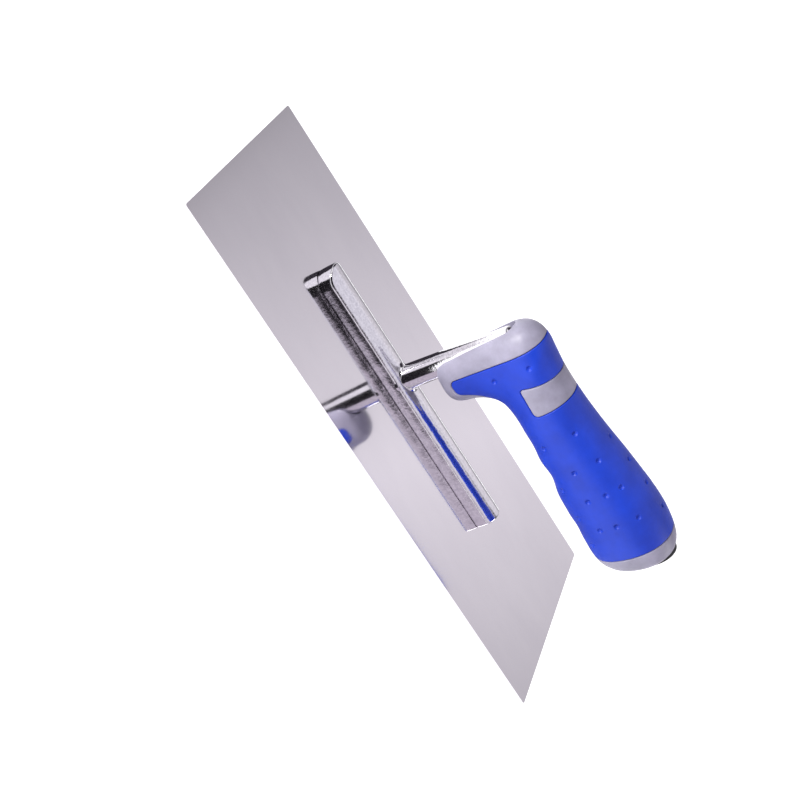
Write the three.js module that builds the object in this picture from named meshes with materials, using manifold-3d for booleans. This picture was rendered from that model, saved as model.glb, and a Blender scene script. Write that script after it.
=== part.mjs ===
// Steel finishing trowel: a stainless blade riveted to a chromed rail, a chromed shank that rises
// from the rail and turns back as a tang, and a two-material handle bolted on the tang.
// Millimetres, +Z up. The blade lies flat on Z = 0 with its long side along X; the handle's
// butt points to +X. The origin is the middle of the blade's underside.

import * as THREE from "three";
import { mergeVertices } from "three/addons/utils/BufferGeometryUtils.js";
import Module from "manifold-3d";

const wasm = await Module();
wasm.setup();

// ---------------------------------------------------------------- driving dimensions
const BLADE = { length: 280, width: 120, thickness: 0.8, cornerRadius: 1.2 };
const RAIL = {
  front: -75.2, // full-round end
  back: 73.6, // middle of the slightly bowed end
  halfWidth: 8.2,
  sideHeight: 6.4, // upright sides, above the blade
  crownHeight: 9.4, // middle of the arched top, above the blade
  backBow: 1.8, // how far the back end bows out of square
};
const RIVET = { headRadius: 3, shankRadius: 2, top: 4.8, clearance: 0.1 };
const RIVET_X = [-67, -46, -25, 5, 35, 65]; // three either side of the shank
const POST = {
  footX: -10.9,
  headX: -9.2,
  footZ: 5.5,
  headZ: 66,
  footRadius: 6.2,
  headRadius: 5.1,
  domeHeight: 3.6,
};
const SOCKET_GAP = 0.35;
const COLLAR = { radius: 7.3, lipRadius: 6.85, lipHeight: 0.6, bottom: 2.8, straightTop: 9.0, top: 11.0 };
const TANG = { z: 64, radius: 4, end: 110 };
const SLOT = { gap: 0.4, top: 70.4, bottom: 15, mouthX: -30 };
const SKIN = 2.0; // thickness of the soft overmould
const PART_GAP = 0.3; // space kept between mouldings that fit into each other
const ABOVE_HANDLE = 92; // a height, or a side-view line, clear of the handle's top
const FAR_ACROSS = 60; // half the depth of a cutting prism that passes right through the handle
const SPIGOT = { start: 96, radius: 13.5, end: 111 };
const NUT_WELL = { radius: 11, floor: 100, capRadius: 9.5, end: 113.2 };
const WASHER = { radius: 10.5, thickness: 1.6, boreGap: 0.3 };
const NUT = { acrossFlats: 13, thickness: 6.5, chamfer: 0.6, boreGap: 0.1 };
const PLUG = { radius: 10.8, rise: 4.8, flange: 1.8, stemRadius: 7.2, stem: 4, holeRadius: 7.5 };

// Handle outline as stations from the tip of the nose to the butt: the outer point (front, crown
// and top), the inner point (throat and underside), the half width there, and how square the
// outer half of the section is (2 is an ellipse).
const STATIONS = [
  { outer: [-8.6, 25.6], inner: [3.6, 24.5], half: 4.6, square: 3.0 },
  { outer: [-11.8, 27.4], inner: [7.6, 26.2], half: 7.7, square: 3.0 },
  { outer: [-13.6, 31.0], inner: [9.9, 29.6], half: 9.1, square: 2.8 },
  { outer: [-14.1, 40.0], inner: [11.0, 36.0], half: 10.0, square: 2.6 },
  { outer: [-14.4, 50.0], inner: [12.8, 41.0], half: 10.9, square: 2.5 },
  { outer: [-14.6, 60.0], inner: [15.6, 45.0], half: 11.8, square: 2.4 },
  { outer: [-14.7, 67.6], inner: [18.8, 47.2], half: 12.6, square: 2.4 },
  { outer: [-14.0, 73.0], inner: [21.6, 48.0], half: 13.3, square: 2.4 },
  { outer: [-11.8, 77.4], inner: [24.4, 48.4], half: 13.9, square: 2.4 },
  { outer: [-7.8, 80.4], inner: [27.2, 48.6], half: 14.3, square: 2.3 },
  { outer: [-2.2, 81.5], inner: [30.0, 48.7], half: 14.6, square: 2.3 },
  { outer: [5.0, 81.0], inner: [33.4, 48.7], half: 14.9, square: 2.2 },
  { outer: [14.0, 80.1], inner: [37.6, 48.6], half: 15.2, square: 2.2 },
  { outer: [25.0, 80.1], inner: [43.0, 48.2], half: 15.4, square: 2.2 },
  { outer: [38.0, 80.8], inner: [50.0, 47.8], half: 15.9, square: 2.2 },
  { outer: [52.0, 82.2], inner: [59.0, 48.2], half: 16.7, square: 2.2 },
  { outer: [65.0, 84.0], inner: [69.0, 46.6], half: 17.6, square: 2.2 },
  { outer: [77.0, 85.4], inner: [79.0, 45.6], half: 18.3, square: 2.2 },
  { outer: [88.0, 86.4], inner: [87.0, 46.4], half: 18.9, square: 2.2 },
  { outer: [98.0, 86.8], inner: [95.0, 45.2], half: 19.1, square: 2.2 },
  { outer: [107.0, 86.0], inner: [102.6, 45.4], half: 19.0, square: 2.2 },
  { outer: [114.0, 84.5], inner: [108.4, 46.4], half: 18.4, square: 2.2 },
  { outer: [118.0, 82.6], inner: [112.6, 49.0], half: 16.8, square: 2.2 },
  { outer: [119.4, 80.6], inner: [114.8, 52.0], half: 15.0, square: 2.2 },
];
const INNER_SQUARE = 2.3; // how square the inner half of every section is
const LOFT_STEPS = 38;
const SECTION_SIDES = 30;
const ROUND_SIDES = 32;

// ---------------------------------------------------------------- finishes
const finish = (color, roughness, metalness) =>
  new THREE.MeshStandardMaterial({ color, roughness, metalness });
const POLISHED_STEEL = finish(0xd6d0d8, 0.12, 1);
const CHROME = finish(0xe4e2e8, 0.06, 1);
const ZINC_STEEL = finish(0xb9bcc0, 0.35, 1);
const GREY_PLASTIC = finish(0xb3adb8, 0.5, 0);
const BLUE_RUBBER = finish(0x2b51e0, 0.6, 0);
const BLACK_RUBBER = finish(0x151518, 0.6, 0);

// ---------------------------------------------------------------- solids and booleans
function toSolid(geometry) {
  const plain = geometry.index ? geometry.clone() : geometry;
  plain.deleteAttribute("normal");
  plain.deleteAttribute("uv");
  const merged = mergeVertices(plain, 1e-4);
  return new wasm.Manifold(
    new wasm.Mesh({
      numProp: 3,
      vertProperties: new Float32Array(merged.attributes.position.array),
      triVerts: new Uint32Array(merged.index.array),
    })
  );
}

function toGeometry(solid) {
  const mesh = solid.getMesh();
  const geometry = new THREE.BufferGeometry();
  geometry.setAttribute("position", new THREE.BufferAttribute(new Float32Array(mesh.vertProperties), 3));
  geometry.setIndex(new THREE.BufferAttribute(new Uint32Array(mesh.triVerts), 1));
  geometry.computeVertexNormals();
  return geometry;
}

function part(name, solid, material) {
  const mesh = new THREE.Mesh(toGeometry(solid), material);
  mesh.name = name;
  return mesh;
}

// A prism whose outline is drawn in plan and that stands between two heights.
function uprightPrism(shape, bottom, top) {
  const geometry = new THREE.ExtrudeGeometry(shape, {
    depth: top - bottom,
    bevelEnabled: false,
    curveSegments: 10,
  });
  return toSolid(geometry.translate(0, 0, bottom));
}

// A prism whose outline is drawn in side view (X, Z) and that runs right across the part.
function crossPrism(outline, halfDepth) {
  const geometry = new THREE.ExtrudeGeometry(new THREE.Shape(outline), {
    depth: 2 * halfDepth,
    bevelEnabled: false,
  });
  return toSolid(geometry.rotateX(Math.PI / 2).translate(0, halfDepth, 0));
}

// A turned solid about the X axis at a given height: profile points are [x, radius].
function turnedAlongX(profile, z, sides = ROUND_SIDES) {
  const points = profile.map(([x, radius]) => new THREE.Vector2(radius, x));
  const geometry = new THREE.LatheGeometry(points, sides);
  return toSolid(geometry.rotateZ(-Math.PI / 2).translate(0, 0, z));
}

function rodAlongX(from, to, radius, z, sides = ROUND_SIDES) {
  return turnedAlongX([[from, 0], [from, radius], [to, radius], [to, 0]], z, sides);
}

// A closed skin over a row of sections with equal numbers of points.
function loft(sections) {
  const sides = sections[0].length;
  const positions = [];
  const faces = [];
  for (const section of sections) {
    for (const point of section) positions.push(point.x, point.y, point.z);
  }
  for (let row = 0; row + 1 < sections.length; row++) {
    for (let side = 0; side < sides; side++) {
      const a = row * sides + side;
      const b = row * sides + ((side + 1) % sides);
      faces.push(a, b, b + sides, a, b + sides, a + sides);
    }
  }
  for (const [row, flip] of [[0, true], [sections.length - 1, false]]) {
    const middle = new THREE.Vector3();
    for (const point of sections[row]) middle.addScaledVector(point, 1 / sides);
    const hub = positions.length / 3;
    positions.push(middle.x, middle.y, middle.z);
    for (let side = 0; side < sides; side++) {
      const a = row * sides + side;
      const b = row * sides + ((side + 1) % sides);
      faces.push(hub, flip ? b : a, flip ? a : b);
    }
  }
  const geometry = new THREE.BufferGeometry();
  geometry.setAttribute("position", new THREE.Float32BufferAttribute(positions, 3));
  geometry.setIndex(faces);
  return toSolid(geometry);
}

// ---------------------------------------------------------------- blade, rail and rivets
function roundedRectangle(length, width, radius) {
  const shape = new THREE.Shape();
  const x = length / 2;
  const y = width / 2;
  shape.moveTo(-x + radius, -y);
  shape.lineTo(x - radius, -y);
  shape.absarc(x - radius, -y + radius, radius, -Math.PI / 2, 0);
  shape.lineTo(x, y - radius);
  shape.absarc(x - radius, y - radius, radius, 0, Math.PI / 2);
  shape.lineTo(-x + radius, y);
  shape.absarc(-x + radius, y - radius, radius, Math.PI / 2, Math.PI);
  shape.lineTo(-x, -y + radius);
  shape.absarc(-x + radius, -y + radius, radius, Math.PI, 1.5 * Math.PI);
  return shape;
}

function pin(x, radius, bottom, top) {
  const geometry = new THREE.CylinderGeometry(radius, radius, top - bottom, 24);
  return toSolid(geometry.rotateX(Math.PI / 2).translate(x, 0, (bottom + top) / 2));
}

function makeBlade() {
  const { length, width, thickness, cornerRadius } = BLADE;
  let blade = uprightPrism(roundedRectangle(length, width, cornerRadius), 0, thickness);
  for (const x of RIVET_X) {
    blade = blade.subtract(pin(x, RIVET.headRadius + RIVET.clearance, -1, thickness + 1));
  }
  return blade;
}

function makeRivet(x) {
  const head = pin(x, RIVET.headRadius, 0, BLADE.thickness);
  return head.add(pin(x, RIVET.shankRadius, BLADE.thickness / 2, RIVET.top));
}

function railPlan() {
  const { front, back, halfWidth, backBow } = RAIL;
  const shape = new THREE.Shape();
  shape.moveTo(front + halfWidth, -halfWidth);
  shape.lineTo(back - backBow, -halfWidth);
  shape.quadraticCurveTo(back + backBow, 0, back - backBow, halfWidth);
  shape.lineTo(front + halfWidth, halfWidth);
  shape.absarc(front + halfWidth, 0, halfWidth, Math.PI / 2, 1.5 * Math.PI);
  return shape;
}

// The rail's cross-section: upright sides and an arched top, swept along X.
function railBar() {
  const { front, back, halfWidth, sideHeight, crownHeight } = RAIL;
  const rise = crownHeight - sideHeight;
  const radius = (halfWidth * halfWidth + rise * rise) / (2 * rise);
  const centre = BLADE.thickness + crownHeight - radius;
  const sweep = Math.asin(halfWidth / radius);
  const extra = 2;
  const section = new THREE.Shape();
  section.moveTo(-halfWidth, BLADE.thickness);
  section.lineTo(halfWidth, BLADE.thickness);
  section.absarc(0, centre, radius, Math.PI / 2 - sweep, Math.PI / 2 + sweep);
  const geometry = new THREE.ExtrudeGeometry(section, {
    depth: back - front + 2 * extra,
    bevelEnabled: false,
    curveSegments: 14,
  });
  // The section's own X becomes the part's Y, and its depth becomes the part's X. The bar is a
  // little longer than the rail at each end, for the plan to trim.
  const turn = new THREE.Matrix4().makeBasis(
    new THREE.Vector3(0, 1, 0),
    new THREE.Vector3(0, 0, 1),
    new THREE.Vector3(1, 0, 0)
  );
  return toSolid(geometry.applyMatrix4(turn).translate(front - extra, 0, 0));
}

// Where the shank's leaning upright is at a height, and how thick it is there.
function postAt(z) {
  const along = (z - POST.footZ) / (POST.headZ - POST.footZ);
  return {
    x: POST.footX + (POST.headX - POST.footX) * along,
    radius: POST.footRadius + (POST.headRadius - POST.footRadius) * along,
  };
}

// A round solid on the leaning axis of the shank's upright, given as [height, radius] pairs.
function onPostAxis(profile, sides = ROUND_SIDES) {
  const sections = profile.map(([z, radius]) => {
    const { x } = postAt(z);
    const ring = [];
    for (let side = 0; side < sides; side++) {
      const angle = (2 * Math.PI * side) / sides;
      ring.push(new THREE.Vector3(x + radius * Math.cos(angle), radius * Math.sin(angle), z));
    }
    return ring;
  });
  return loft(sections);
}

function makeRail() {
  const plan = uprightPrism(railPlan(), 0, 2 * RAIL.crownHeight);
  const collar = onPostAxis([
    [COLLAR.bottom, COLLAR.radius],
    [COLLAR.straightTop, COLLAR.radius],
    [COLLAR.top - COLLAR.lipHeight, COLLAR.lipRadius + COLLAR.lipHeight / 2],
    [COLLAR.top, COLLAR.lipRadius],
  ]);
  const socketRadius = POST.footRadius + SOCKET_GAP;
  const socket = onPostAxis([[POST.footZ - SOCKET_GAP, socketRadius], [2 * COLLAR.top, socketRadius]]);
  let rail = railBar().intersect(plan).add(collar).subtract(socket);
  for (const x of RIVET_X) {
    const hole = pin(x, RIVET.shankRadius + RIVET.clearance, 0, RIVET.top + RIVET.clearance);
    rail = rail.subtract(hole);
  }
  return rail;
}

// ---------------------------------------------------------------- shank
// The upright ends in a low dome, whose steps stop just short of its pole.
function makeShank() {
  const profile = [[POST.footZ, POST.footRadius], [POST.headZ, POST.headRadius]];
  const domeSteps = 5;
  for (let step = 1; step <= domeSteps; step++) {
    const angle = (step / (domeSteps + 0.4)) * (Math.PI / 2);
    const z = POST.headZ + POST.domeHeight * Math.sin(angle);
    profile.push([z, POST.headRadius * Math.cos(angle)]);
  }
  const tang = rodAlongX(POST.headX - 1, TANG.end, TANG.radius, TANG.z, 24);
  return onPostAxis(profile).add(tang);
}

// ---------------------------------------------------------------- handle body
// Smooth curves through the stations: one carries the outer points and the half widths, the
// other the inner points and the squareness.
const toVector = ([x, z], extra) => new THREE.Vector3(x, z, extra);
const OUTER_CURVE = new THREE.CatmullRomCurve3(
  STATIONS.map((station) => toVector(station.outer, station.half)), false, "catmullrom", 0.5
);
const INNER_CURVE = new THREE.CatmullRomCurve3(
  STATIONS.map((station) => toVector(station.inner, station.square)), false, "catmullrom", 0.5
);

function handleSection(along, inset) {
  const outer = OUTER_CURVE.getPoint(along);
  const inner = INNER_CURVE.getPoint(along);
  const across = new THREE.Vector2(outer.x - inner.x, outer.y - inner.y);
  const halfLength = across.length() / 2 - inset;
  const halfWidth = outer.z - inset;
  across.normalize();
  const midX = (outer.x + inner.x) / 2;
  const midZ = (outer.y + inner.y) / 2;
  const ring = [];
  for (let side = 0; side < SECTION_SIDES; side++) {
    const angle = (2 * Math.PI * side) / SECTION_SIDES;
    const square = Math.cos(angle) > 0 ? inner.z : INNER_SQUARE;
    const reach = Math.sign(Math.cos(angle)) * Math.abs(Math.cos(angle)) ** (2 / square);
    const spread = Math.sign(Math.sin(angle)) * Math.abs(Math.sin(angle)) ** (2 / square);
    ring.push(
      new THREE.Vector3(
        midX + across.x * reach * halfLength,
        -spread * halfWidth,
        midZ + across.y * reach * halfLength
      )
    );
  }
  return ring;
}

function handleBody(inset) {
  const sections = [];
  for (let step = 0; step <= LOFT_STEPS; step++) {
    sections.push(handleSection(step / LOFT_STEPS, inset));
  }
  return loft(sections);
}

// Where the grip ends at the butt: a line that leans back towards the top, in side view.
const BUTT_LINE = { bottom: [105.0, 40], top: [110.8, ABOVE_HANDLE] };

// Side-view outline of the blue overmould: a straight front edge, a tongue down the leg, a rear
// edge just inside the throat, and a notch in the top for the grey window.
function gripOutline(grow) {
  const shape = new THREE.Shape();
  shape.moveTo(-3.3, ABOVE_HANDLE);
  shape.lineTo(-3.3, 34.6);
  shape.quadraticCurveTo(-3.3, 31.4, -0.4, 31.4);
  shape.lineTo(2.0, 31.4);
  shape.quadraticCurveTo(4.4, 31.4, 5.4, 34.0);
  shape.bezierCurveTo(7.6, 40.2, 11.4, 45.4, 18.0, 47.0);
  shape.lineTo(27.5, 48.0);
  shape.lineTo(27.5, 40);
  shape.lineTo(...BUTT_LINE.bottom);
  shape.lineTo(...BUTT_LINE.top);
  shape.lineTo(26.4, ABOVE_HANDLE);
  shape.lineTo(26.4, 65.2);
  shape.quadraticCurveTo(26.4, 62.2, 23.4, 62.2);
  shape.lineTo(13.0, 62.2);
  shape.quadraticCurveTo(11.2, 62.2, 11.6, 64.4);
  shape.lineTo(16.2, ABOVE_HANDLE);
  return offsetOutline(shape.getPoints(6), grow);
}

// Moves every corner of a closed outline outwards by a distance (inwards when it is negative).
function offsetOutline(points, distance) {
  const corners = points.filter((point, i) => i === 0 || point.distanceTo(points[i - 1]) > 1e-3);
  const turning = THREE.ShapeUtils.isClockWise(corners) ? 1 : -1;
  return corners.map((point, i) => {
    const before = corners[(i + corners.length - 1) % corners.length];
    const after = corners[(i + 1) % corners.length];
    const edgeIn = point.clone().sub(before).normalize();
    const edgeOut = after.clone().sub(point).normalize();
    const normal = new THREE.Vector2(-edgeIn.y - edgeOut.y, edgeIn.x + edgeOut.x).normalize();
    const stretch = 1 / Math.max(0.5, normal.dot(new THREE.Vector2(-edgeIn.y, edgeIn.x)));
    return point.clone().addScaledVector(normal, turning * distance * stretch);
  });
}

// Everything on the butt side of the butt line, moved along X by a shift.
function buttSide(shift) {
  const [bottomX, bottomZ] = BUTT_LINE.bottom;
  const [topX, topZ] = BUTT_LINE.top;
  const lean = (topX - bottomX) / (topZ - bottomZ);
  const farX = 2 * topX;
  return crossPrism(
    [
      new THREE.Vector2(bottomX + shift - bottomZ * lean, 0),
      new THREE.Vector2(farX, 0),
      new THREE.Vector2(farX, topZ),
      new THREE.Vector2(topX + shift, topZ),
    ],
    FAR_ACROSS
  );
}

// The channel that the shank's upright lies in, open at the front.
function shankSlot() {
  const halfCircle = 12;
  const section = (z) => {
    const { x, radius: postRadius } = postAt(z);
    const radius = postRadius + SLOT.gap;
    const ring = [];
    for (let step = 0; step <= halfCircle; step++) {
      const angle = -Math.PI / 2 + (Math.PI * step) / halfCircle;
      ring.push(new THREE.Vector3(x + radius * Math.cos(angle), radius * Math.sin(angle), z));
    }
    ring.push(new THREE.Vector3(SLOT.mouthX, radius, z));
    ring.push(new THREE.Vector3(SLOT.mouthX, -radius, z));
    return ring;
  };
  return loft([section(SLOT.bottom), section(SLOT.top)]);
}

function makeHandleCore() {
  const raised = handleBody(0).subtract(crossPrism(gripOutline(PART_GAP), FAR_ACROSS));
  const spigot = rodAlongX(SPIGOT.start, SPIGOT.end, SPIGOT.radius, TANG.z);
  return handleBody(SKIN + PART_GAP)
    .add(raised)
    .subtract(buttSide(0))
    .add(spigot)
    .subtract(shankSlot())
    .subtract(rodAlongX(POST.headX, BLADE.length / 2, TANG.radius + SLOT.gap, TANG.z, 24))
    .subtract(rodAlongX(NUT_WELL.floor, BLADE.length / 2, NUT_WELL.radius, TANG.z));
}

function makeSoftGrip() {
  return handleBody(0).subtract(handleBody(SKIN)).intersect(crossPrism(gripOutline(0), FAR_ACROSS));
}

function makeButtCap() {
  return handleBody(0)
    .intersect(buttSide(PART_GAP))
    .subtract(rodAlongX(SPIGOT.start, SPIGOT.end + PART_GAP, SPIGOT.radius + PART_GAP, TANG.z))
    .subtract(rodAlongX(SPIGOT.start, NUT_WELL.end, NUT_WELL.capRadius, TANG.z))
    .subtract(plugShape(PLUG.holeRadius, 0, -PLUG.stem - PART_GAP, PLUG.stem));
}

// ---------------------------------------------------------------- nut, washer and end plug
function makeWasher() {
  const { floor } = NUT_WELL;
  const { thickness, radius, boreGap } = WASHER;
  const disc = rodAlongX(floor, floor + thickness, radius, TANG.z);
  return disc.subtract(rodAlongX(floor - 1, floor + thickness + 1, TANG.radius + boreGap, TANG.z, 24));
}

// A six-sided bar whose two end rims are chamfered.
function makeNut() {
  const start = NUT_WELL.floor + WASHER.thickness;
  const end = start + NUT.thickness;
  const { chamfer, boreGap } = NUT;
  const cornerRadius = NUT.acrossFlats / Math.sqrt(3);
  const rimRadius = cornerRadius - 1.5 * chamfer;
  const body = turnedAlongX(
    [
      [start, 0],
      [start, rimRadius],
      [start + chamfer, cornerRadius],
      [end - chamfer, cornerRadius],
      [end, rimRadius],
      [end, 0],
    ],
    TANG.z,
    6
  );
  return body.subtract(rodAlongX(start - 1, end + 1, TANG.radius + boreGap, TANG.z, 24));
}

// A disc or hole square to the leaning butt face and above its middle, between two distances
// from that face.
function plugShape(radius, flangeRound, from, to) {
  const last = STATIONS[STATIONS.length - 1];
  const lean = Math.atan2(last.outer[0] - last.inner[0], last.outer[1] - last.inner[1]);
  const middleX = (last.outer[0] + last.inner[0]) / 2 + PLUG.rise * Math.sin(lean);
  const middleZ = (last.outer[1] + last.inner[1]) / 2 + PLUG.rise * Math.cos(lean);
  const profile = [
    [0, from],
    [radius, from],
    [radius, to - flangeRound],
    [radius - 0.3 * flangeRound, to - 0.3 * flangeRound],
    [radius - flangeRound, to],
    [0, to],
  ].filter(([r, h], i, all) => i === 0 || r !== all[i - 1][0] || h !== all[i - 1][1]);
  const geometry = new THREE.LatheGeometry(profile.map(([r, h]) => new THREE.Vector2(r, h)), ROUND_SIDES);
  return toSolid(geometry.rotateZ(-Math.PI / 2).rotateY(lean).translate(middleX, 0, middleZ));
}

function makeEndPlug() {
  const flange = plugShape(PLUG.radius, 1.2, PART_GAP, PART_GAP + PLUG.flange);
  return flange.add(plugShape(PLUG.stemRadius, 0, -PLUG.stem, PART_GAP + 0.5));
}

// ---------------------------------------------------------------- assembly
const trowel = new THREE.Group();
trowel.add(part("blade", makeBlade(), POLISHED_STEEL));
trowel.add(part("rail", makeRail(), CHROME));
RIVET_X.forEach((x, i) => trowel.add(part(`rivet_${i + 1}`, makeRivet(x), ZINC_STEEL)));
trowel.add(part("shank", makeShank(), CHROME));
trowel.add(part("handle_core", makeHandleCore(), GREY_PLASTIC));
trowel.add(part("soft_grip", makeSoftGrip(), BLUE_RUBBER));
trowel.add(part("butt_cap", makeButtCap(), GREY_PLASTIC));
trowel.add(part("end_plug", makeEndPlug(), BLACK_RUBBER));
trowel.add(part("tang_washer", makeWasher(), ZINC_STEEL));
trowel.add(part("tang_nut", makeNut(), ZINC_STEEL));

export default trowel;
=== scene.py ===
import math

import bmesh
import bpy
import numpy as np
from mathutils import Matrix, Vector, noise


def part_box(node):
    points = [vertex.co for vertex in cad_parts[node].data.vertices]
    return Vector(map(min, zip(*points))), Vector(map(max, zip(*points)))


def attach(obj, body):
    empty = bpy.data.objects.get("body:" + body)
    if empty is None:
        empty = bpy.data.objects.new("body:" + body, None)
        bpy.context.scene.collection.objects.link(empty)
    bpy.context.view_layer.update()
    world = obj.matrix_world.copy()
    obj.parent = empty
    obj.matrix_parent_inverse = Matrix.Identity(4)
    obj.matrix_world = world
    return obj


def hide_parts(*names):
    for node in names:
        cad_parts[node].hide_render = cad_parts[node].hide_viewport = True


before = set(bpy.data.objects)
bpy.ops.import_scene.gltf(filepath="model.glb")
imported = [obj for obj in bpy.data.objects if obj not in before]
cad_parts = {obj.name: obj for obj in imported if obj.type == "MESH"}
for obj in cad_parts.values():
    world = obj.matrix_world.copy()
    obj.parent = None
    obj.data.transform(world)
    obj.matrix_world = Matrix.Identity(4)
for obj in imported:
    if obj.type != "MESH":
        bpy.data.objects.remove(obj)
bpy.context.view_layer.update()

# A steel finishing trowel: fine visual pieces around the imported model. X runs along the blade
# towards the handle's butt, Y across it and Z up from its underside. Sizes are in millimetres
# here and become metres where a mesh is made.

MM = 0.001


def node_box(name):
    """Lowest and highest corner of a CAD node, in millimetres."""
    low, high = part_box(name)
    return np.array(low) / MM, np.array(high) / MM


# ---------------------------------------------------------------- driving dimensions
BLADE_HIGH = node_box("blade")[1]
RAIL_LOW, RAIL_HIGH = node_box("rail")
SHANK_HIGH = node_box("shank")[1]
BLADE_TOP = BLADE_HIGH[2]
BLADE_CORNER = 1.2
BLADE_EDGE = 0.12  # bevel on every edge of the sheet
RIVET_GAP = 0.06  # between a rivet's head and its hole
RIVET_RIM = 0.15  # easing of the head's rim
RIVET_STEP = 1.0  # how much thinner a rivet is above the blade

RAIL_HALF = RAIL_HIGH[1]
RAIL_BOW = 1.8  # how far the back end bows out of square
RAIL_BOW_PULL = 0.5  # how far past the back end the bow is drawn
RAIL_BOW_START = 0.45  # how far the back corners already reach into the bow
RAIL_SIDE_TOP = BLADE_TOP + 6.4
RAIL_CROWN_TOP = BLADE_TOP + 9.4
RAIL_EDGE = 0.9  # rounding between the sides and the arched top
RAIL_GAP_HEIGHT = 0.35  # of the fine gap along the foot of the sides
RAIL_GAP_DEPTH = 0.9
RAIL_BULGE = 0.2  # how far the sides lean out above their foot
RAIL_BELLY = 0.62  # share of their height at which they stand out most
RAIL_BACK_CORNER = 1.6

POST_FOOT = (-10.9, 5.5, 6.2)  # x, z and radius low in the rail
POST_HEAD = (-9.2, 66.0, 5.1)  # and where the dome starts
POST_DOME = 3.6
FILLET = 2.2  # between the post and the rail
FILLET_SINK = (0.05, 0.06)  # how far its ends lie within the rail and within the post
FILLET_ROOT = 1.5  # how far it goes on down inside the rail
TANG_Z = 64.0
TANG_RADIUS = 4.0
TANG_CHAMFER = 0.8
SLOT_GAP = 0.4
SLOT_TOP = 71.2

SKIN = 2.0  # thickness of the soft grip
RECESS = 2.3  # how deep the core lies under the grip
SEAM = 0.12  # half the gap between the mouldings at the surface
EDGE_ROUND = 0.5  # rounding where a moulding ends at a seam
LIP_ROUND = 0.8  # rounding of the slot's lips

# The handle from the tip of the nose to the butt: outer x and z (front, crown and top), inner x
# and z (throat and underside), half width, and how square the outer half of the section is.
STATIONS = np.array([
    (-8.6, 25.6, 3.6, 24.5, 4.6, 3.0),
    (-11.8, 27.4, 7.6, 26.2, 7.7, 3.0),
    (-13.6, 31.0, 9.9, 29.6, 9.1, 2.8),
    (-14.1, 40.0, 11.0, 36.0, 10.0, 2.6),
    (-14.4, 50.0, 12.8, 41.0, 10.9, 2.5),
    (-14.6, 60.0, 15.6, 45.0, 11.8, 2.4),
    (-14.7, 67.6, 18.8, 47.2, 12.6, 2.4),
    (-14.0, 73.0, 21.6, 48.0, 13.3, 2.4),
    (-11.8, 77.4, 24.4, 48.4, 13.9, 2.4),
    (-7.8, 80.4, 27.2, 48.6, 14.3, 2.3),
    (-2.2, 81.5, 30.0, 48.7, 14.6, 2.3),
    (5.0, 81.0, 33.4, 48.7, 14.9, 2.2),
    (14.0, 80.1, 37.6, 48.6, 15.2, 2.2),
    (25.0, 80.1, 43.0, 48.2, 15.4, 2.2),
    (38.0, 80.8, 50.0, 47.8, 15.9, 2.2),
    (52.0, 82.2, 59.0, 48.2, 16.7, 2.2),
    (65.0, 84.0, 69.0, 46.6, 17.6, 2.2),
    (77.0, 85.4, 79.0, 45.6, 18.3, 2.2),
    (88.0, 86.4, 87.0, 46.4, 18.9, 2.2),
    (98.0, 86.8, 95.0, 45.2, 19.1, 2.2),
    (107.0, 86.0, 102.6, 45.4, 19.0, 2.2),
    (114.0, 84.5, 108.4, 46.4, 18.4, 2.2),
    (118.0, 82.6, 112.6, 49.0, 16.8, 2.2),
    (119.4, 80.6, 114.8, 52.0, 15.0, 2.2),
])
INNER_SQUARE = 2.3
NOSE_BULGE = 0.9
BUTT_BULGE = 1.3
BUTT_LINE = ((105.0, 40.0), (110.8, 92.0))  # side view, where the grip meets the butt cap
ABOVE_HANDLE = 92.0

# Dimples pressed into the grip in rows: x of the first one, spacing, and the angles round the
# section from the top in degrees. Every row is repeated on the other side.
DIMPLE_ROWS = [
    (54.0, 14.2, (0, 0, 0, 0)),
    (41.0, 16.6, (55, 49, 44, 49)),
    (73.7, 16.0, (69, 81)),
    (42.0, 15.6, (111, 90, 93, 101)),
    (49.5, 15.6, (133, 125, 122, 127)),
    (57.0, 15.6, (160, 160, 160)),
]
NECK_DIMPLES = [(67, 0.406), (97, 0.232)]  # angle, and share of the way along the stations
DIMPLE_RADIUS = 1.4
DIMPLE_DEPTH = 0.9
FINGER = {"first": 33.0, "pitch": 18.0, "count": 4, "depth": 0.5, "focus": 1.5}
PLUG = {"radius": 10.8, "rise": 4.8, "top": 2.1, "rim": 0.9, "sunk": 1.5}
PLUG_FACE = [(0.15, 6.48), (0.1, 3.2), (-0.3, 2.7), (-0.35, 0.5)]  # height over its rim, and radius
HANDLE_GIRTH = 112  # about once round the handle, for the number of its faces
GRIP_SPACING = 0.5  # size of the faces of the handle's mesh
BODY_SPACING = 0.9
SEAM_WALL = 0.1  # run of the steep wall where the core steps down under the grip
EDGE_SHARES = (0.0, 0.08, 0.26, 0.55, 1.0)  # lines that carry a rounded edge, by share of its run
DIMPLE_SHARES = (0.5, 0.85, 1.0)  # rings that carry a dimple, by share of its radius
LIP_LEVELS = (0.0, 0.1, 0.3, LIP_ROUND)  # lines that carry the rounded lips of the slot

# Degrees, metres and millimetres of focal length.
CAMERA = {"azimuth": -20.34, "elevation": 29.69, "distance": 0.7146, "roll": 67.1, "lens": 67.97}
CAMERA_AIM = (-0.0017, 0.0, -0.001)

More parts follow.
